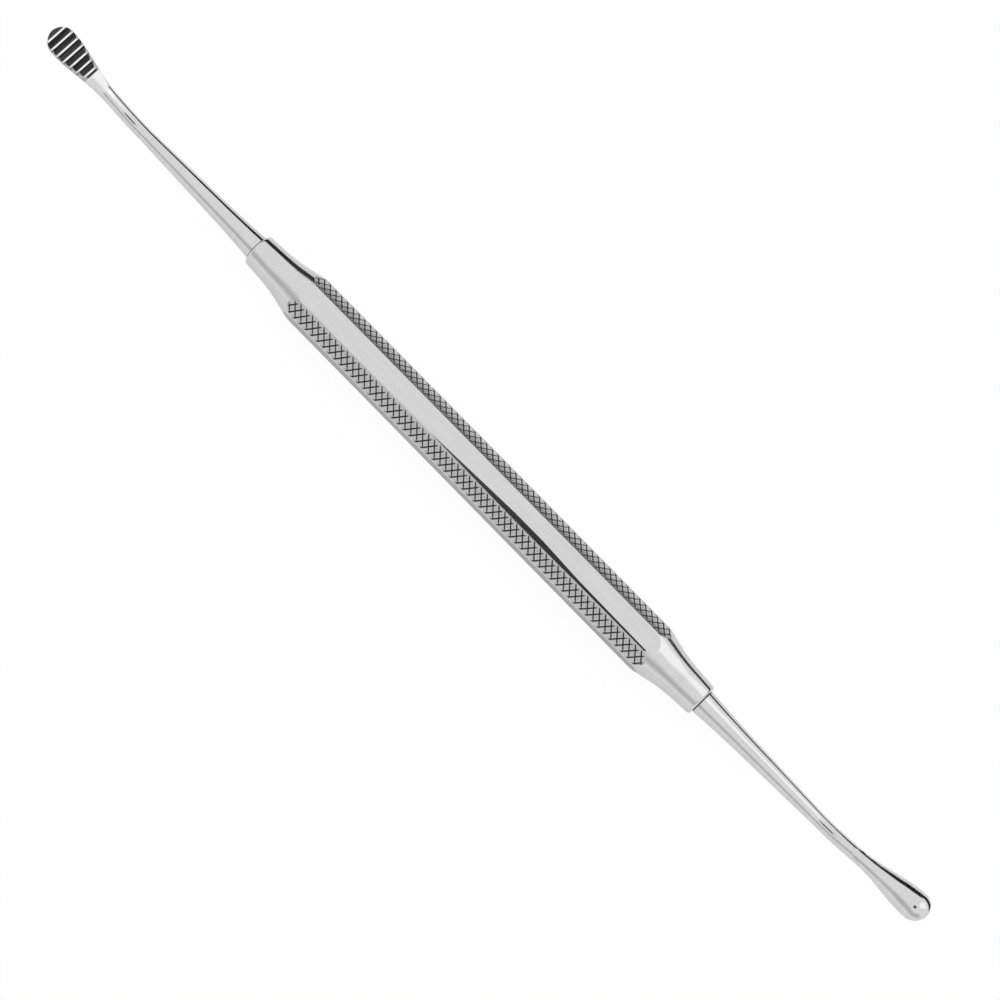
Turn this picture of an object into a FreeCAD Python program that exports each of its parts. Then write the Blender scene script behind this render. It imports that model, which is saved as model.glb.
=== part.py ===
"""Double-ended bone file: an octagonal steel handle with a bent, paddle-headed file in each end.

Millimetres. +X runs along the tool, +Z is up, and the tool lies on one plain flat of its handle.
The origin is the middle of that flat. Both heads rise. The file at -X has its teeth on top, in the
hollow of the bend, and the file at +X has them underneath, on the outside of the bend.
"""
import FreeCAD
import Part
import math
import os

from FreeCAD import Vector

# Handle: an octagonal bar, turned down at each end to a round collar.
ACROSS_FLATS = 7.7
HANDLE_LENGTH = 92.0
ARRIS_RADIUS = 0.3
COLLAR_RADIUS = 2.62
COLLAR_SLOPE = 3.8
COLLAR_BEVEL = 0.35
TAPER_LENGTH = 10.8
TAPER_SLOPE = 12.8
HOLLOW_RADIUS = 20.0

# Seat: each file has a round tang, pressed into a drilled socket as far as its shoulder.
TANG_RADIUS = 1.25
TANG_LENGTH = 11.0
TANG_BEVEL = 0.3
SOCKET_CLEARANCE = 0.02
SOCKET_END_GAP = 0.5
DRILL_POINT = 118.0

# Shank: round, flared at the shoulder, and tapering to a thin neck.
FILE_LENGTH = 43.0
SHOULDER_RADIUS = 2.0
SHOULDER_BEVEL = 0.15
FLARE_RADIUS = 150.0
SHANK_TAPER = 1.8
NECK_RADIUS = 1.06
NECK_LENGTH = 1.6

# Bend: one arc in the neck, after which the head runs on straight.
BEND_RADIUS = 16.0
BEND_ANGLE = 20.7
CLOCKING = 2.0

# Head: a turned bulb with a round tip, flattened on the back and ground flat on the face.
HEAD_WIDTH = 4.48
HEAD_SLOPE = 9.4
SWELL_RADIUS = 20.0
HEAD_FLARE_RADIUS = 26.0
BACK_FULLNESS = 1.08
BACK_SLOPE = 3.9
BACK_START = 1.0
BACK_LEAD = 0.35
FACE_HEIGHT = 0.5
FACE_LENGTH = 8.1
FACE_RUNOUT_RADIUS = 12.0

# Teeth: straight cuts across the face, steep on the side that faces the handle.
TOOTH_COUNT = 7
TOOTH_PITCH = 1.2
TOOTH_DEPTH = 0.36
TOOTH_LAND = 0.22
TOOTH_RAKE = 6.0
LAST_GULLET_DEPTH = 0.16
FIRST_CREST = 0.85

CUTTER_MARGIN = 2.0
TOP = 1
UNDERSIDE = -1


def slope(angle):
    return math.tan(math.radians(angle))


def line(start, end):
    return Part.LineSegment(start, end).toShape()


def arc(centre, radius, start, end):
    """Arc in the upright plane, between two angles in degrees."""
    points = []
    for angle in (start, (start + end) / 2, end):
        turn = math.radians(angle)
        points.append(centre + Vector(radius * math.cos(turn), 0, radius * math.sin(turn)))
    return Part.Arc(*points).toShape()


def turned(edges):
    """Solid of revolution about the tool's axis."""
    profile = Part.Wire(Part.sortEdges(edges)[0])
    return Part.Face(profile).revolve(Vector(0, 0, 0), Vector(1, 0, 0), 360)


def corner_radius():
    return ACROSS_FLATS / 2 / math.cos(math.pi / 8)


def octagon_bar():
    """Plain bar with flats up, down and to each side, and its long corners slightly rounded."""
    corners = []
    for index in range(8):
        angle = math.pi / 8 + index * math.pi / 4
        y = corner_radius() * math.cos(angle)
        z = corner_radius() * math.sin(angle)
        corners.append(Vector(-HANDLE_LENGTH / 2, y, z))
    bar = Part.Face(Part.makePolygon(corners + corners[:1])).extrude(Vector(HANDLE_LENGTH, 0, 0))
    arrises = [edge for edge in bar.Edges if abs(edge.Length - HANDLE_LENGTH) < 1e-6]
    return bar.makeFillet(ARRIS_RADIUS, arrises)


def taper_edges(side):
    """Profile of one turned end: end face, bevel, collar, hollow, and the slope up to the corners."""
    end = side * HANDLE_LENGTH / 2
    bevel_start = Vector(end, 0, COLLAR_RADIUS - COLLAR_BEVEL)
    bevel_end = Vector(end - side * COLLAR_BEVEL, 0, COLLAR_RADIUS)
    full = Vector(end - side * TAPER_LENGTH, 0, corner_radius())
    rise = corner_radius() - COLLAR_RADIUS - (TAPER_LENGTH - COLLAR_BEVEL) * slope(COLLAR_SLOPE)
    steep_run = rise / (slope(TAPER_SLOPE) - slope(COLLAR_SLOPE))
    knee = full + Vector(side * steep_run, 0, -steep_run * slope(TAPER_SLOPE))
    reach = HOLLOW_RADIUS * slope((TAPER_SLOPE - COLLAR_SLOPE) / 2)
    hollow_start = knee + (bevel_end - knee).normalize() * reach
    hollow_end = knee + (full - knee).normalize() * reach
    centre = hollow_start + Vector(-side * slope(COLLAR_SLOPE), 0, 1).normalize() * HOLLOW_RADIUS
    middle = centre + (knee - centre).normalize() * HOLLOW_RADIUS
    edges = [
        line(Vector(end, 0, 0), bevel_start),
        line(bevel_start, bevel_end),
        line(bevel_end, hollow_start),
        Part.Arc(hollow_start, middle, hollow_end).toShape(),
        line(hollow_end, full),
    ]
    return edges, full


def turned_envelope():
    """Round body that holds both turned ends and clears the bar's corners between them."""
    left_edges, left_full = taper_edges(-1)
    right_edges, right_full = taper_edges(1)
    left_end = Vector(-HANDLE_LENGTH / 2, 0, 0)
    right_end = Vector(HANDLE_LENGTH / 2, 0, 0)
    return turned(left_edges + [line(left_full, right_full)] + right_edges + [line(right_end, left_end)])


def socket(side):
    """Drilled hole for one tang, with the drill's point at its bottom."""
    radius = TANG_RADIUS + SOCKET_CLEARANCE
    depth = TANG_LENGTH + SOCKET_END_GAP
    point = radius / math.tan(math.radians(DRILL_POINT / 2))
    mouth = side * HANDLE_LENGTH / 2
    inward = Vector(-side, 0, 0)
    bore = Part.makeCylinder(radius, depth, Vector(mouth, 0, 0), inward)
    tip = Part.makeCone(radius, 0, point, Vector(mouth - side * depth, 0, 0), inward)
    return bore.fuse(tip)


def handle():
    bar = octagon_bar().common(turned_envelope())
    return bar.cut([socket(-1), socket(1)])


def head_edges():
    """Profile of the bulb, from its tip at the origin back to the end of the straight neck."""
    radius = HEAD_WIDTH / 2
    sine = math.sin(math.radians(HEAD_SLOPE))
    sagitta = 1 - math.cos(math.radians(HEAD_SLOPE))
    cone_start = Vector(-radius - SWELL_RADIUS * sine, 0, radius - SWELL_RADIUS * sagitta)
    cone_drop = cone_start.z - NECK_RADIUS - HEAD_FLARE_RADIUS * sagitta
    cone_end = cone_start - Vector(cone_drop / slope(HEAD_SLOPE), 0, cone_drop)
    flare_end = Vector(cone_end.x - HEAD_FLARE_RADIUS * sine, 0, NECK_RADIUS)
    neck_end = flare_end - Vector(NECK_LENGTH, 0, 0)
    tip = arc(Vector(-radius, 0, 0), radius, 0, 90)
    swell = arc(Vector(-radius, 0, radius - SWELL_RADIUS), SWELL_RADIUS, 90, 90 + HEAD_SLOPE)
    flare_centre = flare_end + Vector(0, 0, HEAD_FLARE_RADIUS)
    flare = arc(flare_centre, HEAD_FLARE_RADIUS, 270, 270 + HEAD_SLOPE)
    edges = [tip, swell, line(cone_start, cone_end), flare, line(flare_end, neck_end)]
    return edges, neck_end


def across_head(edges):
    """Cutter of a given profile that reaches right across the head."""
    width = HEAD_WIDTH + 2 * CUTTER_MARGIN
    profile = Part.Face(Part.Wire(edges))
    profile.translate(Vector(0, -width / 2, 0))
    return profile.extrude(Vector(0, width, 0))


def face_cutter():
    """Ground face: flat along the teeth, and run out in an arc towards the shank."""
    turn = math.degrees(math.acos(1 - (HEAD_WIDTH / 2 - FACE_HEIGHT) / FACE_RUNOUT_RADIUS))
    front = Vector(CUTTER_MARGIN, 0, FACE_HEIGHT)
    back = Vector(-FACE_LENGTH, 0, FACE_HEIGHT)
    runout = arc(back + Vector(0, 0, FACE_RUNOUT_RADIUS), FACE_RUNOUT_RADIUS, 270 - turn, 270)
    out = runout.firstVertex(True).Point
    over = Vector(CUTTER_MARGIN, 0, out.z)
    return across_head([line(front, back), runout, line(out, over), line(over, front)])


def tooth_cutters():
    """Gullets from the one ahead of the first crest to a shallow one behind the last crest."""
    above = FACE_HEIGHT + CUTTER_MARGIN
    cutters = []
    for index in range(TOOTH_COUNT + 1):
        depth = LAST_GULLET_DEPTH if index == TOOTH_COUNT else TOOTH_DEPTH
        crest = -FIRST_CREST - (index - 1) * TOOTH_PITCH
        steep = crest - TOOTH_LAND / 2
        easy = steep - (TOOTH_PITCH - TOOTH_LAND) * depth / TOOTH_DEPTH
        corners = [
            Vector(steep, 0, above),
            Vector(steep, 0, FACE_HEIGHT),
            Vector(steep - depth * slope(TOOTH_RAKE), 0, FACE_HEIGHT - depth),
            Vector(easy, 0, FACE_HEIGHT),
            Vector(easy, 0, above),
        ]
        cutters.append(across_head([line(*ends) for ends in zip(corners, corners[1:] + corners[:1])]))
    return cutters


def flattened(bulb, neck_end):
    """The bulb with its back dressed down by a fuller bulb, tilted about a place in the neck."""
    pivot = Vector(neck_end.x + BACK_START, 0, 0)
    dresser = bulb.copy()
    dresser.scale(BACK_FULLNESS, Vector(0, 0, 0))
    dresser.translate(Vector(BACK_LEAD, 0, NECK_RADIUS * (BACK_FULLNESS - 1)))
    dresser.rotate(pivot, Vector(0, 1, 0), -BACK_SLOPE)
    return bulb.common(dresser)


def head(side):
    """Straight head with its tip at the origin, and its teeth on top or underneath."""
    edges, neck_end = head_edges()
    foot = Vector(neck_end.x, 0, 0)
    bulb = turned(edges + [line(neck_end, foot), line(foot, Vector(0, 0, 0))])
    ground = flattened(bulb, neck_end).cut([face_cutter()] + tooth_cutters())
    if side == UNDERSIDE:
        ground.rotate(Vector(0, 0, 0), Vector(1, 0, 0), 180)
    return ground, -neck_end.x


def shank(length):
    """Straight part of the shank: shoulder, flare, and the cone down to the bend."""
    seat = Vector(0, 0, 0)
    shoulder = Vector(0, 0, SHOULDER_RADIUS - SHOULDER_BEVEL)
    flare_start = Vector(SHOULDER_BEVEL, 0, SHOULDER_RADIUS)
    neck = Vector(length, 0, NECK_RADIUS)
    uphill = Vector(-1, 0, slope(SHANK_TAPER)).normalize()
    outward = Vector(uphill.z, 0, -uphill.x)
    standoff = (flare_start - neck).dot(outward)
    flare_run = math.sqrt(2 * FLARE_RADIUS * standoff - standoff ** 2)
    flare_end = neck + uphill * ((flare_start - neck).dot(uphill) - flare_run)
    turn = math.degrees(math.asin(flare_run / FLARE_RADIUS))
    low = 270 - SHANK_TAPER
    flare = arc(flare_end + outward * FLARE_RADIUS, FLARE_RADIUS, low - turn, low)
    foot = Vector(length, 0, 0)
    edges = [line(seat, shoulder), line(shoulder, flare_start), flare, line(flare_end, neck)]
    return turned(edges + [line(neck, foot), line(foot, seat)])


def bend(place):
    section = Part.Face(Part.Wire(Part.makeCircle(NECK_RADIUS, Vector(place, 0, 0), Vector(1, 0, 0))))
    return section.revolve(Vector(place, 0, BEND_RADIUS), Vector(0, -1, 0), BEND_ANGLE)


def tang():
    start = Vector(-TANG_LENGTH, 0, 0)
    cylinder = Part.makeCylinder(TANG_RADIUS, TANG_LENGTH, start, Vector(1, 0, 0))
    tail = [edge for edge in cylinder.Edges if edge.BoundBox.XMax < -TANG_LENGTH + 1e-6]
    return cylinder.makeChamfer(TANG_BEVEL, tail)


def bone_file(side):
    """One working end, with its shoulder at the origin and its tip towards +X."""
    paddle, head_length = head(side)
    angle = math.radians(BEND_ANGLE)
    bend_place = FILE_LENGTH - head_length * math.cos(angle) - BEND_RADIUS * math.sin(angle)
    tip_rise = BEND_RADIUS * (1 - math.cos(angle)) + head_length * math.sin(angle)
    paddle.rotate(Vector(0, 0, 0), Vector(0, -1, 0), BEND_ANGLE)
    paddle.translate(Vector(FILE_LENGTH, 0, tip_rise))
    return tang().fuse([shank(bend_place), bend(bend_place), paddle]).removeSplitter()


def seated(shape, turn, end):
    """Moves a working end to its socket, turned about the tool's axis as it was pressed in."""
    shape.rotate(Vector(0, 0, 0), Vector(1, 0, 0), turn)
    if end < 0:
        shape.rotate(Vector(0, 0, 0), Vector(0, 0, 1), 180)
    shape.translate(Vector(end * HANDLE_LENGTH / 2, 0, 0))
    return shape


def main():
    os.makedirs("parts", exist_ok=True)
    pieces = {
        "handle": handle(),
        "upward_file": seated(bone_file(TOP), -CLOCKING, -1),
        "downward_file": seated(bone_file(UNDERSIDE), -CLOCKING, 1),
    }
    for name, shape in pieces.items():
        shape.translate(Vector(0, 0, ACROSS_FLATS / 2))
        shape.exportStep(f"parts/{name}.step")


main()
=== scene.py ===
import math

import bmesh
import bpy
from mathutils import Matrix, Vector


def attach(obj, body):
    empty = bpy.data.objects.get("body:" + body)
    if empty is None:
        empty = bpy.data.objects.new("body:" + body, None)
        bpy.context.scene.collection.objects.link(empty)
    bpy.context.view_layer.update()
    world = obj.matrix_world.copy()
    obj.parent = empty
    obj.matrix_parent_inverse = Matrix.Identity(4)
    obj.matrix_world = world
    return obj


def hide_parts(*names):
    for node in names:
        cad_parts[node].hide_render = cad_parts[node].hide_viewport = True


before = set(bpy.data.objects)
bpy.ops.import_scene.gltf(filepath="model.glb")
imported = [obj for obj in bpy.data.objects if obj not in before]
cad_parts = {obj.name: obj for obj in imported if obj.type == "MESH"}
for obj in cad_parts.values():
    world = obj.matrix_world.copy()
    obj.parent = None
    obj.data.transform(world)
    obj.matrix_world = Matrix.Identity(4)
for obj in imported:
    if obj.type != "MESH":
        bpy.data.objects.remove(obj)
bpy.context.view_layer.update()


# Handle
# The real handle is one stainless bar: eight flats milled along it, both ends turned down to a
# round collar and drilled for the files. Four of the flats are cut with a diamond knurl for grip,
# and the four between them are left smooth.

MM = 0.001
SAME_PLACE = 1e-7
ON_PLANE = 1e-8
ACROSS_FLATS = 7.7 * MM
HALF_CORNER = math.radians(22.5)
HALF_HANDLE = 46.0 * MM
ARRIS_RADIUS = 0.3 * MM
COLLAR_RADIUS = 2.62 * MM
COLLAR_SLOPE = math.radians(3.8)
COLLAR_ROUND = 0.42 * MM
TAPER_LENGTH = 10.8 * MM
TAPER_SLOPE = math.radians(12.8)
HOLLOW_RADIUS = 20.0 * MM
SOCKET_RADIUS = 1.27 * MM
SOCKET_DEPTH = 11.5 * MM
DRILL_POINT = 0.76 * MM
TURNING_STEPS = 192

axis = Vector((0, 0, ACROSS_FLATS / 2))
corner = ACROSS_FLATS / 2 / math.cos(HALF_CORNER)
collar_rise = (TAPER_LENGTH - COLLAR_ROUND) * math.tan(COLLAR_SLOPE)
steep_run = (corner - COLLAR_RADIUS - collar_rise) / (math.tan(TAPER_SLOPE) - math.tan(COLLAR_SLOPE))
knee_radius = corner - steep_run * math.tan(TAPER_SLOPE)

# The turned form is one profile, spun about the tool's axis. Its knees are rounded first: the
# hollow of each taper, points 4 and 7, and the rim of each collar, points 3 and 8.
bar = bmesh.new()
half_profile = [
    (HALF_HANDLE - SOCKET_DEPTH - DRILL_POINT, 0),
    (HALF_HANDLE - SOCKET_DEPTH, SOCKET_RADIUS),
    (HALF_HANDLE, SOCKET_RADIUS),
    (HALF_HANDLE, COLLAR_RADIUS),
    (HALF_HANDLE - TAPER_LENGTH + steep_run, knee_radius),
    (HALF_HANDLE - TAPER_LENGTH, corner),
]
profile = [(-x, r) for x, r in half_profile] + half_profile[::-1]
points = [bar.verts.new(axis + Vector((x, 0, r))) for x, r in profile]
for start, end in zip(points, points[1:]):
    bar.edges.new((start, end))
hollow_reach = HOLLOW_RADIUS * math.tan((TAPER_SLOPE - COLLAR_SLOPE) / 2)
for knees, reach, steps in (((4, 7), hollow_reach, 5), ((3, 8), COLLAR_ROUND, 4)):
    bmesh.ops.bevel(bar, geom=[points[index] for index in knees], affect="VERTICES", offset=reach,
                    segments=steps, profile=0.5, material=-1)
bmesh.ops.spin(bar, geom=bar.verts[:] + bar.edges[:], cent=axis, axis=(1, 0, 0), dvec=(0, 0, 0),
               angle=math.tau, steps=TURNING_STEPS, use_merge=True)
bmesh.ops.remove_doubles(bar, verts=bar.verts, dist=SAME_PLACE)

# The flats, and between each two of them three narrow cuts that round the long corner.
CUTS_PER_FLAT = 4
fillet_centre = corner - ARRIS_RADIUS / math.cos(HALF_CORNER)
for cut in range(8 * CUTS_PER_FLAT):
    angle = math.tau * cut / (8 * CUTS_PER_FLAT)
    outward = Vector((0, math.cos(angle), math.sin(angle)))
    place_in_flat = cut % CUTS_PER_FLAT
    if place_in_flat == 0:
        reach = ACROSS_FLATS / 2
    else:
        from_corner = HALF_CORNER * (1 - 2 * place_in_flat / CUTS_PER_FLAT)
        reach = fillet_centre * math.cos(from_corner) + ARRIS_RADIUS
    sliced = bmesh.ops.bisect_plane(bar, geom=bar.verts[:] + bar.edges[:] + bar.faces[:], dist=ON_PLANE,
                                    plane_co=axis + outward * reach, plane_no=outward, clear_outer=True)
    rim = [item for item in sliced["geom_cut"] if isinstance(item, bmesh.types.BMEdge)]
    bmesh.ops.edgenet_fill(bar, edges=rim)

# A shallow facet is ground along one long corner of the top flat, widest past the tool's middle.
# Each place along the tool has its own depth, measured in from the sharp corner. The cuts that
# divide the flats at those places are dissolved afterwards.
FACET_TILT = math.radians(9)
NO_BEND = 1e-4
FACET_DEPTHS = (
    (-8.0 * MM, 0.016 * MM),
    (8.6 * MM, 0.107 * MM),
    (14.4 * MM, 0.107 * MM),
    (21.6 * MM, 0.058 * MM),
    (HALF_HANDLE - TAPER_LENGTH, 0.036 * MM),
)


def with_borders(faces):
    """These faces with their edges and vertices, as the bisect operator wants them."""
    edges = dict.fromkeys(edge for face in faces for edge in face.edges)
    verts = dict.fromkeys(vert for face in faces for vert in face.verts)
    return list(faces) + list(edges) + list(verts)


facet_normal = Vector((0, -math.sin(FACET_TILT), math.cos(FACET_TILT)))
facet_across = Vector((0, math.cos(FACET_TILT), math.sin(FACET_TILT)))
sharp_corner = axis + Vector((0, -math.sin(HALF_CORNER), math.cos(HALF_CORNER))) * corner
grind = [sharp_corner + Vector((x, 0, 0)) - facet_normal * depth for x, depth in FACET_DEPTHS]
for point in grind[1:-1]:
    bmesh.ops.bisect_plane(bar, geom=bar.verts[:] + bar.edges[:] + bar.faces[:], dist=ON_PLANE,
                           plane_co=point, plane_no=(1, 0, 0))
ground_off = {}
for start, end in zip(grind, grind[1:]):
    low = -1 if start is grind[0] else start.x
    high = 1 if end is grind[-1] else end.x
    slant = (end - start).cross(facet_across).normalized()
    stretch = [face for face in bar.faces if low < face.calc_center_median().x < high]
    bmesh.ops.bisect_plane(bar, geom=with_borders(stretch), dist=ON_PLANE, plane_co=start, plane_no=slant)
    ground_off |= dict.fromkeys(vert for vert in bar.verts
                                if low - SAME_PLACE < vert.co.x < high + SAME_PLACE
                                and (vert.co - start).dot(slant) > 10 * SAME_PLACE)
bmesh.ops.delete(bar, geom=list(ground_off), context="VERTS")
rim = [edge for edge in bar.edges if edge.is_boundary]
for point in grind[1:-1]:
    ends = {vert for edge in rim for vert in edge.verts if abs(vert.co.x - point.x) < SAME_PLACE}
    rim.append(bar.edges.new(sorted(ends, key=lambda vert: vert.co.y)))
bmesh.ops.edgenet_fill(bar, edges=rim)
divided_at = [point.x for point in grind[1:-1]]
dividers = [edge for edge in bar.edges if edge.calc_face_angle(1) < NO_BEND and any(
    all(abs(vert.co.x - x) < SAME_PLACE for vert in edge.verts) for x in divided_at)]
bmesh.ops.dissolve_edges(bar, edges=dividers)

# The knurl: two sets of parallel grooves across each diagonal flat. Each set runs in and out at
# its own heights on the flat, given from its middle towards the side flats. The lands between the
# grooves are inset, but for the narrow scraps, so that only their rims take the dark of the cut,
# which is partly grime held in the grooves and partly painted shade, and a dull spot is left in the
# middle of each whole one. A flat's painted shade is given as its middle's and the change across it.
FIELD_WIDTH = 2.92 * MM
KNURL_PITCH = 1.205 * MM
KNURL_ANGLE = math.radians(54)
KNURL_SHIFT = 0.31 * MM
GROOVE_WIDTH = 0.22 * MM
GROOVE_DEPTH = 0.12 * MM
GROOVES_EACH_WAY = 32
LAND_EASE = 0.09 * MM
NARROWEST_LAND = 1.3 * LAND_EASE
WHOLE_LAND = 0.5 * MM * MM
LAND_DULLNESS = 0.4
FLAT_SHADE = ((0.3, -1.4), (0.42, -0.1), (0.42, -0.1), (0.42, -0.1))
GROOVE_RUNS = {
    1: (-1.44 * MM, -1.1 * MM, 0.85 * MM, 1.25 * MM),
    -1: (-1.1 * MM, -0.7 * MM, 1.34 * MM, 1.44 * MM),
}

cut_and_shade_mark = bar.verts.layers.float.new("cut")
milled_shade_mark = bar.faces.layers.float.new("milled_shade")
bright_mark = bar.faces.layers.float.new("bright_cut")
spacing = KNURL_PITCH * math.sin(KNURL_ANGLE)


def from_groove(point, start, normal):
    """Distance of a point on a flat from the nearest groove of the set that has this normal."""
    steps = (point - start).dot(normal) / spacing
    return abs(steps - round(steps)) * spacing


def on_flat(faces, middle, outward):
    """The faces that lie in the flat with this middle and this normal."""
    return [face for face in faces
            if abs((face.calc_center_median() - middle).dot(outward)) < SAME_PLACE]


for quarter, (flat_shade, flat_shade_change) in enumerate(FLAT_SHADE):
    angle = math.radians(45 + 90 * quarter)
    outward = Vector((0, math.cos(angle), math.sin(angle)))
    sideways = Vector((0, outward.y, -outward.z))
    middle = axis + outward * ACROSS_FLATS / 2
    bar.normal_update()
    for height in (-FIELD_WIDTH / 2, FIELD_WIDTH / 2):
        region = with_borders(on_flat(bar.faces, middle, outward))
        bmesh.ops.bisect_plane(bar, geom=region, dist=ON_PLANE, plane_co=middle + sideways * height,
                               plane_no=sideways)
    region = with_borders([face for face in on_flat(bar.faces, middle, outward)
                           if abs((face.calc_center_median() - middle).dot(sideways)) < FIELD_WIDTH / 2])
    start = middle + sideways * KNURL_SHIFT
    normals = {}
    for lean in GROOVE_RUNS:
        normals[lean] = Vector((math.sin(KNURL_ANGLE), 0, 0)) - sideways * math.cos(KNURL_ANGLE) * lean
        for number in range(-GROOVES_EACH_WAY, GROOVES_EACH_WAY + 1):
            for offset in (-GROOVE_WIDTH / 2, 0, GROOVE_WIDTH / 2):
                place = start + Vector((number * KNURL_PITCH, 0, 0)) + normals[lean] * offset
                region = bmesh.ops.bisect_plane(bar, geom=region, dist=ON_PLANE, plane_co=place,
                                                plane_no=normals[lean])["geom"]
    grooves = []
    lands = []
    for face in [item for item in region if isinstance(item, bmesh.types.BMFace)]:
        asides = [from_groove(face.calc_center_median(), start, normal) for normal in normals.values()]
        half_width = 2 * face.calc_area() / face.calc_perimeter()
        if min(asides) < GROOVE_WIDTH / 2:
            grooves.append(face)
        elif half_width > NARROWEST_LAND:
            lands.append(face)
    diamonds = [face for face in lands if len(face.verts) == 4 and face.calc_area() > WHOLE_LAND]
    bmesh.ops.inset_individual(bar, faces=lands, thickness=LAND_EASE, use_even_offset=True)
    tops = bmesh.ops.poke(bar, faces=diamonds)["verts"]
    region = with_borders(grooves)
    for height in sorted(height for run in GROOVE_RUNS.values() for height in run):
        region = bmesh.ops.bisect_plane(bar, geom=region, dist=ON_PLANE,
                                        plane_co=middle + sideways * height, plane_no=sideways)["geom"]
    field = dict.fromkeys(face for face in on_flat(bar.faces, middle, outward)
                          if abs((face.calc_center_median() - middle).dot(sideways)) < FIELD_WIDTH / 2)
    for vert in dict.fromkeys(vert for face in field for vert in face.verts):
        if not all(face in field for face in vert.link_faces):
            continue
        height = (vert.co - middle).dot(sideways)
        depth = 0
        for lean, (run_in, full_from, full_to, run_out) in GROOVE_RUNS.items():
            aside = from_groove(vert.co, start, normals[lean])
            fade = min(1, (height - run_in) / (full_from - run_in), (run_out - height) / (run_out - full_to))
            vert[cut_and_shade_mark] = max(vert[cut_and_shade_mark], fade * (1 - aside / (LAND_EASE + GROOVE_WIDTH / 2)))
            if aside < 10 * SAME_PLACE:
                depth = max(depth, fade)
        vert.co -= outward * GROOVE_DEPTH * depth
    for vert in tops:
        vert[cut_and_shade_mark] = LAND_DULLNESS
    for face in field:
        height = (face.calc_center_median() - middle).dot(sideways)
        face[milled_shade_mark] = min(1, max(0, flat_shade + flat_shade_change * height / FIELD_WIDTH))
        face[bright_mark] = 1

# The side flats are left wholly as milled, with the full painted shade, and the ground facet is
# bright. Shading breaks at the facet, where the flats meet the turned ends, and at every sharp edge.
SHARP_EDGE = math.radians(28)
SAME_WAY = 0.9998
SLOPED = 0.01

bmesh.ops.recalc_face_normals(bar, faces=bar.faces)
bar.normal_update()
for face in bar.faces:
    face.smooth = True
    if abs(face.normal.y) > SAME_WAY:
        face[milled_shade_mark] = 1
    if face.normal.dot(facet_normal) > SAME_WAY:
        face[bright_mark] = 1
for edge in bar.edges:
    turned = [abs(face.normal.x) > SLOPED for face in edge.link_faces]
    ground = [face.normal.dot(facet_normal) > SAME_WAY for face in edge.link_faces]
    if len(set(turned)) > 1 or len(set(ground)) > 1 or edge.calc_face_angle(0) > SHARP_EDGE:
        edge.smooth = False
handle_mesh = bpy.data.meshes.new("knurled_handle")
bar.to_mesh(handle_mesh)
bar.free()
handle = bpy.data.objects.new("knurled_handle", handle_mesh)
bpy.context.collection.objects.link(handle)
even = handle.modifiers.new("even_normals", "WEIGHTED_NORMAL")
even.keep_sharp = True
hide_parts("handle")
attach(handle, "root")


def linear(colour):
    """Linear colour of an sRGB hex value."""
    channels = [int(colour[place:place + 2], 16) / 255 for place in (1, 3, 5)]
    return [c / 12.92 if c <= 0.04045 else ((c + 0.055) / 1.055) ** 2.4 for c in channels] + [1]


def node(tree, kind, settings=None, **links):
    """Adds a node, sets its properties, and sets or links its sockets, by name or as _number."""
    made = tree.nodes.new(kind)
    for name, value in (settings or {}).items():
        setattr(made, name, value)
    for name, value in links.items():
        key = int(name[1:]) if name[0] == "_" and name[1:].isdigit() else name.replace("_", " ")
        socket = made.inputs[key]
        if isinstance(value, bpy.types.NodeSocket):
            tree.links.new(value, socket)
        else:
            socket.default_value = value
    return made


# Stainless bar, milled and then buffed: it mirrors its surroundings a little softly. The buff leaves
# fine lines along the flats and round the turned ends, drawn here several times as coarse as real
# ones so that they show, and broad smears of softer and sharper polish. The grooves stay as dull as
# the cutter left them, and their dark is partly grime and partly painted shade. The milled flats are
# darker with painted shade, standing in for the shadowed paper that they mirror, and the gap at the
# file has a line of painted shade.
GRAIN_LENGTH = 6 * MM
GRAIN_WIDTH = 0.3 * MM
GRAIN_DEPTH = 0.002 * MM
GRAIN_SHARE = 0.3
SMEAR = 9 * MM
NOISE_LOW = 0.35
NOISE_HIGH = 0.65
BUFFED_ROUGHNESS = (0.13, 0.19)
LAND_ROUGHNESS = 0.1
CUT_ROUGHNESS = 0.5
CUT_FADE = (0.15, 0.75)
END_BLEND = 1.4 * MM
JOINT_SHADE_NEAR = 0.06 * MM
JOINT_SHADE_FAR = 0.2 * MM
SHOULDER_RADIUS = 1.9 * MM
SHOULDER_FADE = 0.15 * MM

handle_steel = bpy.data.materials.new("buffed_stainless_bar")
handle_steel.use_nodes = True
tree = handle_steel.node_tree
tree.nodes.clear()
place = node(tree, "ShaderNodeTexCoord")
parts = node(tree, "ShaderNodeSeparateXYZ", Vector=place.outputs["Object"])
reach = node(tree, "ShaderNodeMath", {"operation": "ABSOLUTE"}, _0=parts.outputs["X"])
on_end = node(tree, "ShaderNodeMapRange", Value=reach.outputs[0], From_Min=HALF_HANDLE - TAPER_LENGTH,
              From_Max=HALF_HANDLE - TAPER_LENGTH + END_BLEND)
along_flat = node(tree, "ShaderNodeVectorMath", {"operation": "MULTIPLY"}, _0=place.outputs["Object"],
                  _1=(1 / GRAIN_LENGTH, 1 / GRAIN_WIDTH, 1 / GRAIN_WIDTH))
round_end = node(tree, "ShaderNodeVectorMath", {"operation": "MULTIPLY"}, _0=place.outputs["Object"],
                 _1=(1 / GRAIN_WIDTH, 1 / GRAIN_LENGTH, 1 / GRAIN_LENGTH))
lay = node(tree, "ShaderNodeMix", {"data_type": "VECTOR"}, _0=on_end.outputs[0],
           _4=along_flat.outputs[0], _5=round_end.outputs[0])
grain = node(tree, "ShaderNodeTexNoise", Vector=lay.outputs[1], Scale=1.0, Detail=4.0)
smear = node(tree, "ShaderNodeTexNoise", Vector=place.outputs["Object"], Scale=1 / SMEAR, Detail=3.0)
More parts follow.
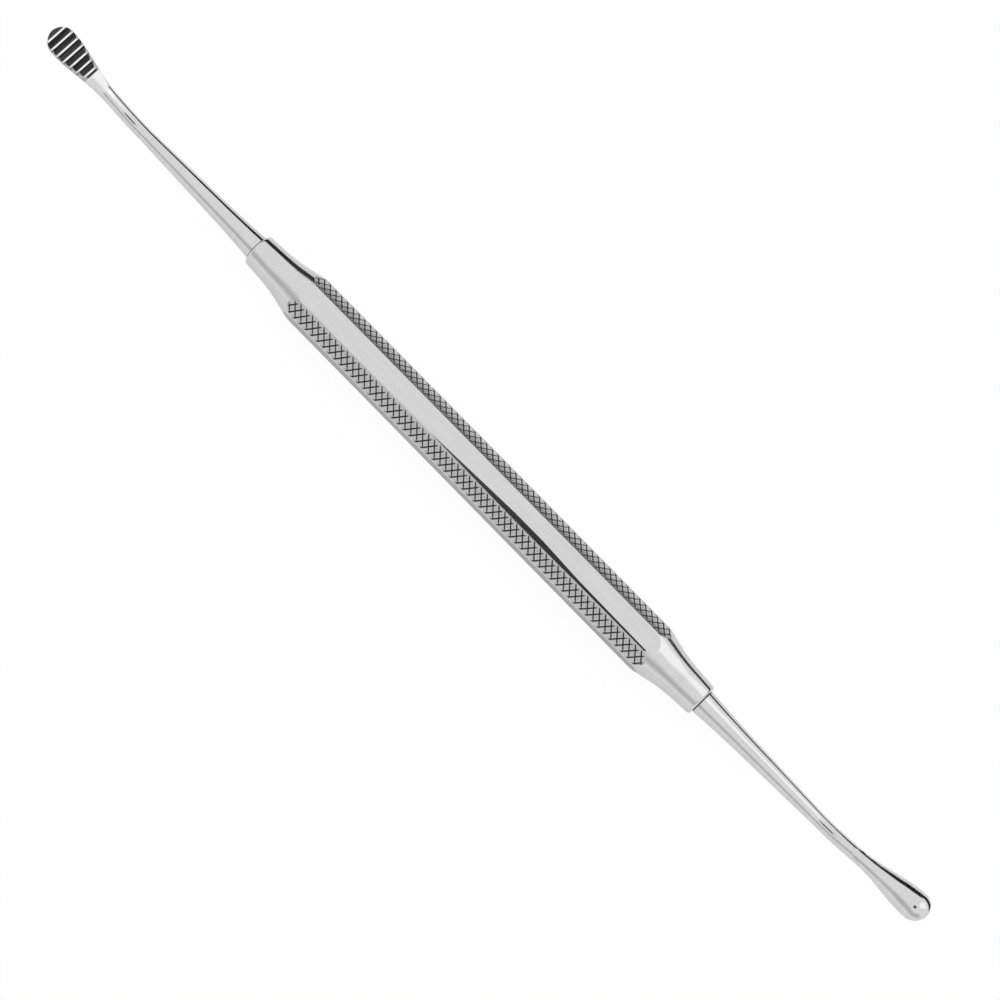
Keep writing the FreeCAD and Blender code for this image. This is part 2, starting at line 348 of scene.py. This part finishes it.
streaks = node(tree, "ShaderNodeMapRange", Value=grain.outputs["Fac"], From_Min=NOISE_LOW,
               From_Max=NOISE_HIGH)
buffed = node(tree, "ShaderNodeMix", {"data_type": "RGBA"}, _0=streaks.outputs[0],
              _6=linear("#D3D3D3"), _7=linear("#D8D8D8"))
# Painted shade: the milled flats are darker, standing in for the shadowed paper that they mirror.
milled_shade = node(tree, "ShaderNodeAttribute", {"attribute_name": "milled_shade"})
milled_shaded = node(tree, "ShaderNodeMix", {"data_type": "RGBA"}, _0=milled_shade.outputs["Fac"],
              _6=buffed.outputs[2], _7=linear("#9A9A9A"))
# The dark of the cut, in and beside the grooves: partly grime and partly painted shade.
cut = node(tree, "ShaderNodeAttribute", {"attribute_name": "cut"})
depth = node(tree, "ShaderNodeMapRange", Value=cut.outputs["Fac"], From_Min=CUT_FADE[0],
             From_Max=CUT_FADE[1])
tone = node(tree, "ShaderNodeMix", {"data_type": "RGBA"}, _0=depth.outputs[0],
            _6=milled_shaded.outputs[2], _7=linear("#3A3A3A"))
# Painted shade: a dark line in the gap where the file meets the collar.
joint_shade = node(tree, "ShaderNodeMapRange", Value=reach.outputs[0], From_Min=HALF_HANDLE - JOINT_SHADE_FAR,
             From_Max=HALF_HANDLE - JOINT_SHADE_NEAR)
off_axis = node(tree, "ShaderNodeVectorMath", {"operation": "SUBTRACT"}, _0=place.outputs["Object"],
                _1=axis)
off_axis = node(tree, "ShaderNodeVectorMath", {"operation": "MULTIPLY"}, _0=off_axis.outputs[0],
                _1=(0, 1, 1))
radius = node(tree, "ShaderNodeVectorMath", {"operation": "LENGTH"}, _0=off_axis.outputs[0])
beside_file = node(tree, "ShaderNodeMapRange", Value=radius.outputs["Value"],
                   From_Min=SHOULDER_RADIUS + SHOULDER_FADE, From_Max=SHOULDER_RADIUS)
joint_shade = node(tree, "ShaderNodeMath", {"operation": "MULTIPLY"}, _0=joint_shade.outputs[0],
             _1=beside_file.outputs[0])
tone = node(tree, "ShaderNodeMix", {"data_type": "RGBA"}, _0=joint_shade.outputs[0],
            _6=tone.outputs[2], _7=linear("#3C3C3C"))

gloss = node(tree, "ShaderNodeMapRange", Value=smear.outputs["Fac"], From_Min=NOISE_LOW,
             From_Max=NOISE_HIGH, To_Min=BUFFED_ROUGHNESS[0], To_Max=BUFFED_ROUGHNESS[1])
bright_cut = node(tree, "ShaderNodeAttribute", {"attribute_name": "bright_cut"})
gloss = node(tree, "ShaderNodeMix", {"data_type": "FLOAT"}, _0=bright_cut.outputs["Fac"],
             _2=gloss.outputs[0], _3=LAND_ROUGHNESS)
haze = node(tree, "ShaderNodeMix", {"data_type": "FLOAT"}, _0=depth.outputs[0],
            _2=gloss.outputs[0], _3=CUT_ROUGHNESS)
relief = node(tree, "ShaderNodeBump", Strength=GRAIN_SHARE, Distance=GRAIN_DEPTH,
              Height=grain.outputs["Fac"])
surface = node(tree, "ShaderNodeBsdfPrincipled", Base_Color=tone.outputs[2], Metallic=1.0,
               Roughness=haze.outputs[0], Normal=relief.outputs[0])
node(tree, "ShaderNodeOutputMaterial", Surface=surface.outputs["BSDF"])
handle_mesh.materials.append(handle_steel)


# Files
# Each file is turned from one stainless rod and pressed into the handle as far as its shoulder. Its
# shank is polished, its head is ground flat on one side, and the teeth are cut straight across.

BEND_ANGLE = math.radians(20.7)
CLOCKING = math.radians(2)
TIP_REACH = 89 * MM
TIP_RISE = 6.247 * MM
FACE_HEIGHT = 0.5 * MM
TOOTH_DEPTH = 0.36 * MM
TEETH_END = 8.6 * MM
TOOTH_PITCH = 1.2 * MM
FIRST_CREST = 0.85 * MM
# A painted highlight on the steel behind the teeth: where it ends and fades, its edge across the head and
# how square on it faces.
HIGHLIGHT_END = 13.5 * MM
HIGHLIGHT_FADE = 2 * MM
HIGHLIGHT_SIDE = (0.3 * MM, -0.1 * MM)
HIGHLIGHT_FACING = (0.75, 0.86)
POLISHED_ROUGHNESS = (0.10, 0.16)

# The gullets start a little below the crests, and the head's upright flanks aren't cut.
CREST_FADE = (0.01 * MM, 0.03 * MM)
ROOT_MARGIN = 0.02 * MM
LARGEST_LEAN = 0.25

# The cutter ran out before the head's edges, so from the tip to the neck the gullets get shorter and
# rounder. Each side of the head has its own reach, at the first short gullet and at the last one.
SHORT_GULLETS = (3.9 * MM, 8.5 * MM)
GULLET_REACH = {1: (2.1 * MM, 0.95 * MM), -1: (2.2 * MM, 1.12 * MM)}
GULLET_ROUND = 0.6 * MM
GULLET_CORNER = 4.0
GULLET_FADE = 0.06 * MM
RIM_SHARE = 0.75

# One file points to the left with its teeth up, the other to the right with its teeth down.
for name, side, teeth in (("upward_file", -1, 1), ("downward_file", 1, -1)):
    # The way the head points, the way its teeth face, the way across it, and the middle of its tip.
    forward = Vector((side * math.cos(BEND_ANGLE), side * math.sin(BEND_ANGLE) * math.sin(CLOCKING),
                      math.sin(BEND_ANGLE) * math.cos(CLOCKING)))
    facing = Vector((-side * math.sin(BEND_ANGLE), side * math.cos(BEND_ANGLE) * math.sin(CLOCKING),
                     math.cos(BEND_ANGLE) * math.cos(CLOCKING))) * teeth
    broadside = facing.cross(forward)
    tip = axis + Vector((side * TIP_REACH, side * TIP_RISE * math.sin(CLOCKING),
                         TIP_RISE * math.cos(CLOCKING)))

    # Polished stainless rod: near a mirror, a little softened by the turning marks round it, which
    # are drawn several times too coarse so that they show. The gullets stay dull from the cutter, and
    # their dark tone is partly the cut's own grey and partly painted shade. Grey rims lie beyond their
    # ends, and a painted highlight lies on the steel behind the teeth.
    file_steel = bpy.data.materials.new("polished_stainless_rod_" + name)
    file_steel.use_nodes = True
    tree = file_steel.node_tree
    tree.nodes.clear()
    place = node(tree, "ShaderNodeTexCoord")
    shape = node(tree, "ShaderNodeNewGeometry")

    # A place on the head: how far back from the tip, across from its middle and below its crests.
    from_tip = node(tree, "ShaderNodeVectorMath", {"operation": "SUBTRACT"}, _0=place.outputs["Object"],
                    _1=tip)
    back = node(tree, "ShaderNodeVectorMath", {"operation": "DOT_PRODUCT"}, _0=from_tip.outputs[0],
                _1=-forward)
    across = node(tree, "ShaderNodeVectorMath", {"operation": "DOT_PRODUCT"}, _0=from_tip.outputs[0],
                  _1=broadside * teeth)
    up = node(tree, "ShaderNodeVectorMath", {"operation": "DOT_PRODUCT"}, _0=from_tip.outputs[0],
              _1=facing)
    down = node(tree, "ShaderNodeMath", {"operation": "SUBTRACT"}, _0=FACE_HEIGHT,
                _1=up.outputs["Value"])

    # A gullet is below the crests, above the roots, on no flank, ahead of the neck and between its
    # ends, which are rounded. The rims lie beyond those ends, as far down as the roots.
    lean = node(tree, "ShaderNodeVectorMath", {"operation": "DOT_PRODUCT"}, _0=shape.outputs["Normal"],
                _1=broadside)
    lean = node(tree, "ShaderNodeMath", {"operation": "ABSOLUTE"}, _0=lean.outputs["Value"])
    upright = node(tree, "ShaderNodeMath", {"operation": "LESS_THAN"}, _0=lean.outputs[0],
                   _1=LARGEST_LEAN)
    below = node(tree, "ShaderNodeMapRange", Value=down.outputs[0], From_Min=CREST_FADE[0],
                 From_Max=CREST_FADE[1])
    above = node(tree, "ShaderNodeMath", {"operation": "LESS_THAN"}, _0=down.outputs[0],
                 _1=TOOTH_DEPTH + ROOT_MARGIN)
    ahead = node(tree, "ShaderNodeMath", {"operation": "LESS_THAN"}, _0=back.outputs["Value"],
                 _1=TEETH_END)
    count = node(tree, "ShaderNodeMath", {"operation": "MULTIPLY_ADD"}, _0=back.outputs["Value"],
                 _1=1 / TOOTH_PITCH, _2=-FIRST_CREST / TOOTH_PITCH)
    phase = node(tree, "ShaderNodeMath", {"operation": "FRACT"}, _0=count.outputs[0])
    rest = node(tree, "ShaderNodeMath", {"operation": "SUBTRACT"}, _0=1.0, _1=phase.outputs[0])
    ends = []
    for edge, corner_phase in ((1, rest), (-1, phase)):
        first_reach, last_reach = GULLET_REACH[edge]
        limit = node(tree, "ShaderNodeMapRange", Value=back.outputs["Value"], From_Min=SHORT_GULLETS[0],
                     From_Max=SHORT_GULLETS[1], To_Min=first_reach, To_Max=last_reach)
        turn = node(tree, "ShaderNodeMath", {"operation": "POWER"}, _0=corner_phase.outputs[0],
                    _1=GULLET_CORNER)
        limit = node(tree, "ShaderNodeMath", {"operation": "MULTIPLY_ADD"}, _0=turn.outputs[0],
                     _1=-GULLET_ROUND, _2=limit.outputs[0])
        room = node(tree, "ShaderNodeMath", {"operation": "MULTIPLY_ADD"}, _0=across.outputs["Value"],
                    _1=float(-edge), _2=limit.outputs[0])
        ends.append(node(tree, "ShaderNodeMapRange", Value=room.outputs[0], From_Min=-GULLET_FADE,
                         From_Max=GULLET_FADE))
    toothed = node(tree, "ShaderNodeMath", {"operation": "MULTIPLY"}, _0=ends[0].outputs[0],
                   _1=ends[1].outputs[0])
    gullet = below
    for mask in (above, upright, ahead, toothed):
        gullet = node(tree, "ShaderNodeMath", {"operation": "MULTIPLY"}, _0=gullet.outputs[0],
                      _1=mask.outputs[0])
    untoothed = node(tree, "ShaderNodeMath", {"operation": "SUBTRACT"}, _0=1.0, _1=toothed.outputs[0])
    rim = node(tree, "ShaderNodeMath", {"operation": "MULTIPLY"}, _0=untoothed.outputs[0],
               _1=RIM_SHARE)
    for mask in (ahead, above):
        rim = node(tree, "ShaderNodeMath", {"operation": "MULTIPLY"}, _0=rim.outputs[0],
                   _1=mask.outputs[0])

    # The painted highlight faces as the teeth do. Behind them it keeps to one side of the head and runs
    # out along the neck.
    square_on = node(tree, "ShaderNodeVectorMath", {"operation": "DOT_PRODUCT"},
                     _0=shape.outputs["Normal"], _1=facing)
    on_face = node(tree, "ShaderNodeMapRange", Value=square_on.outputs["Value"],
                   From_Min=HIGHLIGHT_FACING[0], From_Max=HIGHLIGHT_FACING[1])
    run_out = node(tree, "ShaderNodeMapRange", Value=back.outputs["Value"], From_Min=HIGHLIGHT_END,
                   From_Max=HIGHLIGHT_END - HIGHLIGHT_FADE)
    strip = node(tree, "ShaderNodeMapRange", Value=across.outputs["Value"], From_Min=HIGHLIGHT_SIDE[0],
                 From_Max=HIGHLIGHT_SIDE[1])
    strip = node(tree, "ShaderNodeMath", {"operation": "MAXIMUM"}, _0=strip.outputs[0],
                 _1=ahead.outputs[0])
    painted_highlight = on_face
    for mask in (run_out, strip):
        painted_highlight = node(tree, "ShaderNodeMath", {"operation": "MULTIPLY"}, _0=painted_highlight.outputs[0],
                    _1=mask.outputs[0])

    rings = node(tree, "ShaderNodeVectorMath", {"operation": "MULTIPLY"}, _0=place.outputs["Object"],
                 _1=(1 / GRAIN_WIDTH, 1 / GRAIN_LENGTH, 1 / GRAIN_LENGTH))
    grain = node(tree, "ShaderNodeTexNoise", Vector=rings.outputs[0], Scale=1.0, Detail=4.0)
    streaks = node(tree, "ShaderNodeMapRange", Value=grain.outputs["Fac"], From_Min=NOISE_LOW,
                   From_Max=NOISE_HIGH)
    smear = node(tree, "ShaderNodeTexNoise", Vector=place.outputs["Object"], Scale=1 / SMEAR, Detail=3.0)
    polished = node(tree, "ShaderNodeMix", {"data_type": "RGBA"}, _0=streaks.outputs[0],
                    _6=linear("#D2D2D2"), _7=linear("#DADADA"))
    # The painted highlight behind the teeth, then the grey rims.
    highlighted = node(tree, "ShaderNodeMix", {"data_type": "RGBA"}, _0=painted_highlight.outputs[0],
                  _6=polished.outputs[2], _7=linear("#F4F4F4"))
    highlighted = node(tree, "ShaderNodeMix", {"data_type": "RGBA"}, _0=rim.outputs[0],
                  _6=highlighted.outputs[2], _7=linear("#969696"))
    # The gullets' dark tone: partly the cut's own grey and partly painted shade.
    scored_shade = node(tree, "ShaderNodeMix", {"data_type": "RGBA"}, _0=streaks.outputs[0],
                  _6=linear("#2A2A2A"), _7=linear("#525252"))
    tone = node(tree, "ShaderNodeMix", {"data_type": "RGBA"}, _0=gullet.outputs[0],
                _6=highlighted.outputs[2], _7=scored_shade.outputs[2])
    parts = node(tree, "ShaderNodeSeparateXYZ", Vector=place.outputs["Object"])
    reach = node(tree, "ShaderNodeMath", {"operation": "ABSOLUTE"}, _0=parts.outputs["X"])
    # Painted shade: a dark line in the gap where the file meets the collar.
    joint_shade = node(tree, "ShaderNodeMapRange", Value=reach.outputs[0], From_Min=HALF_HANDLE + JOINT_SHADE_FAR,
                 From_Max=HALF_HANDLE + JOINT_SHADE_NEAR)
    tone = node(tree, "ShaderNodeMix", {"data_type": "RGBA"}, _0=joint_shade.outputs[0],
                _6=tone.outputs[2], _7=linear("#3C3C3C"))

    gloss = node(tree, "ShaderNodeMapRange", Value=smear.outputs["Fac"], From_Min=NOISE_LOW,
                 From_Max=NOISE_HIGH, To_Min=POLISHED_ROUGHNESS[0], To_Max=POLISHED_ROUGHNESS[1])
    haze = node(tree, "ShaderNodeMix", {"data_type": "FLOAT"}, _0=gullet.outputs[0],
                _2=gloss.outputs[0], _3=CUT_ROUGHNESS)
    relief = node(tree, "ShaderNodeBump", Strength=GRAIN_SHARE, Distance=GRAIN_DEPTH,
                  Height=grain.outputs["Fac"])
    surface = node(tree, "ShaderNodeBsdfPrincipled", Base_Color=tone.outputs[2], Metallic=1.0,
                   Roughness=haze.outputs[0], Normal=relief.outputs[0])
    node(tree, "ShaderNodeOutputMaterial", Surface=surface.outputs["BSDF"])
    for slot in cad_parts[name].material_slots:
        slot.material = file_steel


# Floor and light
# The tool lies on a wide sheet of white paper inside a light tent, as in a catalogue picture: soft
# white light from all round, a dimmer band low in front, a black card behind and one soft box.
# Their sizes are in metres.

FLOOR_HALF = 1.5
PAPER_SEEN = 0.95
PAPER_MIRRORED = 0.3

ground = bmesh.new()
bmesh.ops.create_grid(ground, x_segments=1, y_segments=1, size=FLOOR_HALF)
floor_mesh = bpy.data.meshes.new("floor")
ground.to_mesh(floor_mesh)
ground.free()
floor = bpy.data.objects.new("floor", floor_mesh)
bpy.context.collection.objects.link(floor)

# White paper: matt and very pale. Much of its white is a glow of its own, more of it to the eye than
# in the steel, which keeps it as even as a printed page. The rest still takes the tool's shadow.
paper = bpy.data.materials.new("white_paper")
paper.use_nodes = True
tree = paper.node_tree
tree.nodes.clear()
sheet = node(tree, "ShaderNodeBsdfDiffuse", Color=linear("#F4F4F4"))
lit = node(tree, "ShaderNodeEmission", Color=linear("#FFFFFF"), Strength=1.0)
rays = node(tree, "ShaderNodeLightPath")
mirrored = node(tree, "ShaderNodeMath", {"operation": "MAXIMUM"}, _0=rays.outputs["Is Glossy Ray"],
                _1=rays.outputs["Is Transmission Ray"])
mirrored = node(tree, "ShaderNodeMath", {"operation": "MULTIPLY"}, _0=mirrored.outputs[0],
                _1=PAPER_MIRRORED)
share = node(tree, "ShaderNodeMath", {"operation": "MULTIPLY_ADD"}, _0=rays.outputs["Is Camera Ray"],
             _1=PAPER_SEEN, _2=mirrored.outputs[0])
clear = node(tree, "ShaderNodeMixShader", _0=share.outputs[0], _1=sheet.outputs[0], _2=lit.outputs[0])
node(tree, "ShaderNodeOutputMaterial", Surface=clear.outputs[0])
floor_mesh.materials.append(paper)

# A card faced with black velvet lies behind the tool and turns up at its far edge, higher on the
# left than on the right. Only the steel sees it, as the thin black line along each rounded part.
CARD_HEIGHTS = {-1.2: 0.24, -0.2: 0.22, 0.05: 0.11, 1.2: 0.11}
CARD_NEAR = 0.038
CARD_FAR = 0.5
CARD_CLEARANCE = 0.0003

fold = bmesh.new()
bmesh.ops.create_grid(fold, x_segments=len(CARD_HEIGHTS) - 1, y_segments=1, size=1.0)
for vert in fold.verts:
    column = round((vert.co.x + 1) / 2 * (len(CARD_HEIGHTS) - 1))
    vert.co.x = list(CARD_HEIGHTS)[column]
    vert.co.y = CARD_NEAR if vert.co.y < 0 else CARD_FAR
    vert.co.z = CARD_CLEARANCE
halfway = (CARD_NEAR + CARD_FAR) / 2
far = [edge for edge in fold.edges if all(vert.co.y > halfway for vert in edge.verts)]
raised = bmesh.ops.extrude_edge_only(fold, edges=far)["geom"]
for vert in raised:
    if isinstance(vert, bmesh.types.BMVert):
        vert.co.z += CARD_HEIGHTS[round(vert.co.x, 4)]
card_mesh = bpy.data.meshes.new("black_card")
fold.to_mesh(card_mesh)
fold.free()
card = bpy.data.objects.new("black_card", card_mesh)
bpy.context.collection.objects.link(card)
card.visible_camera = False
card.visible_diffuse = False
card.visible_shadow = False

# Black velvet: a deep nap that gives almost no light back.
velvet = bpy.data.materials.new("black_velvet")
velvet.use_nodes = True
tree = velvet.node_tree
tree.nodes.clear()
nap = node(tree, "ShaderNodeBsdfDiffuse", Color=linear("#282828"))
node(tree, "ShaderNodeOutputMaterial", Surface=nap.outputs[0])
card_mesh.materials.append(velvet)

# The tent is white cloth lit from outside. It is dimmer in a band low in front, where it opens.
BAND_RISE = math.radians(32)
BAND_EDGE = math.radians(26)
BAND_CORE = math.radians(2)
BAND_SIDES = (-0.2, -0.6)
TENT_LEVEL = 0.98
BAND_LEVEL = 0.6

world = bpy.data.worlds.new("light_tent")
bpy.context.scene.world = world
world.use_nodes = True
tree = world.node_tree
tree.nodes.clear()
place = node(tree, "ShaderNodeTexCoord")
parts = node(tree, "ShaderNodeSeparateXYZ", Vector=place.outputs["Generated"])
rise = node(tree, "ShaderNodeMath", {"operation": "ARCSINE"}, _0=parts.outputs["Z"])
lift = node(tree, "ShaderNodeMath", {"operation": "SUBTRACT"}, _0=rise.outputs[0], _1=BAND_RISE)
gap = node(tree, "ShaderNodeMath", {"operation": "ABSOLUTE"}, _0=lift.outputs[0])
band = node(tree, "ShaderNodeMapRange", {"interpolation_type": "SMOOTHSTEP"}, Value=gap.outputs[0],
            From_Min=BAND_EDGE, From_Max=BAND_CORE, To_Min=0.0, To_Max=1.0)
front = node(tree, "ShaderNodeMapRange", {"interpolation_type": "SMOOTHSTEP"}, Value=parts.outputs["Y"],
             From_Min=BAND_SIDES[0], From_Max=BAND_SIDES[1], To_Min=0.0, To_Max=1.0)
band = node(tree, "ShaderNodeMath", {"operation": "MULTIPLY"}, _0=band.outputs[0], _1=front.outputs[0])
tent = node(tree, "ShaderNodeMapRange", Value=band.outputs[0], To_Min=TENT_LEVEL, To_Max=BAND_LEVEL)
rays = node(tree, "ShaderNodeLightPath")
seen = node(tree, "ShaderNodeMix", {"data_type": "FLOAT"}, _0=rays.outputs["Is Camera Ray"],
            _2=tent.outputs[0], _3=1.0)
glow = node(tree, "ShaderNodeBackground", Color=linear("#FFFFFF"), Strength=seen.outputs[0])
node(tree, "ShaderNodeOutputWorld", Surface=glow.outputs[0])

# One soft box hangs over the far right side of the tool.
SOFT_BOX_WIDTH = 0.36
SOFT_BOX_HEIGHT = 0.432
SOFT_BOX_DIRECTION = Vector((0.407, 0.524, 0.748))
SOFT_BOX_DISTANCE = 0.6
SOFT_BOX_RADIANCE = 0.32

lamp = bpy.data.lights.new("soft_box", "AREA")
lamp.shape = "RECTANGLE"
lamp.size = SOFT_BOX_WIDTH
lamp.size_y = SOFT_BOX_HEIGHT
lamp.energy = SOFT_BOX_RADIANCE * math.pi * lamp.size * lamp.size_y
soft_box = bpy.data.objects.new("soft_box", lamp)
bpy.context.collection.objects.link(soft_box)
place = SOFT_BOX_DIRECTION * SOFT_BOX_DISTANCE
soft_box.matrix_world = Matrix.Translation(place) @ place.to_track_quat("Z", "Y").to_matrix().to_4x4()

# The black body of the camera, which the ground facet, the bends and the ball end mirror.
BODY_MIDDLE = Vector((-0.0035, -0.085, 0.44))
BODY_WIDTH = 0.131
BODY_DEPTH = 0.15

body = bmesh.new()
bmesh.ops.create_grid(body, x_segments=1, y_segments=1, size=1.0)
for vert in body.verts:
    vert.co = BODY_MIDDLE + Vector((vert.co.x * BODY_WIDTH / 2, vert.co.y * BODY_DEPTH / 2, 0))
body_mesh = bpy.data.meshes.new("camera_body")
body.to_mesh(body_mesh)
body.free()

# Matt black plastic: a fine moulded grain that scatters a little more light than velvet.
casing = bpy.data.materials.new("matt_black_plastic")
casing.use_nodes = True
tree = casing.node_tree
tree.nodes.clear()
moulded = node(tree, "ShaderNodeBsdfDiffuse", Color=linear("#3C3C3C"))
node(tree, "ShaderNodeOutputMaterial", Surface=moulded.outputs[0])
body_mesh.materials.append(casing)
camera_body = bpy.data.objects.new("camera_body", body_mesh)
bpy.context.collection.objects.link(camera_body)
camera_body.visible_camera = False
camera_body.visible_diffuse = False
camera_body.visible_shadow = False


# Camera
# It looks down on the tool from a little in front, with the tool running from the top left of the
# picture to the bottom right.

CAMERA_DISTANCE = 430.0 * MM
LENS = 107.4
TOOL_ACROSS = 0.701
TOOL_DOWN = 0.713
AIM_RIGHT = 3.29 * MM
AIM_DOWN = 3.96 * MM

towards = Vector((0.12, -0.19, 0.9744)).normalized()
along = (Vector((1, 0, 0)) - towards * towards.x).normalized()
nearer = along.cross(towards)
right = along * TOOL_ACROSS - nearer * TOOL_DOWN
up = -along * TOOL_DOWN - nearer * TOOL_ACROSS
aim = axis + right * AIM_RIGHT - up * AIM_DOWN
eye = axis + towards * CAMERA_DISTANCE
back = (eye - aim).normalized()
right = up.cross(back).normalized()
up = back.cross(right)
view = bpy.data.cameras.new("camera")
view.lens = LENS
view.clip_start = 0.01
camera = bpy.data.objects.new("camera", view)
bpy.context.collection.objects.link(camera)
camera.matrix_world = Matrix.Translation(eye) @ Matrix((right, up, back)).transposed().to_4x4()
bpy.context.scene.camera = camera
bpy.context.scene.view_settings.view_transform = "Standard"
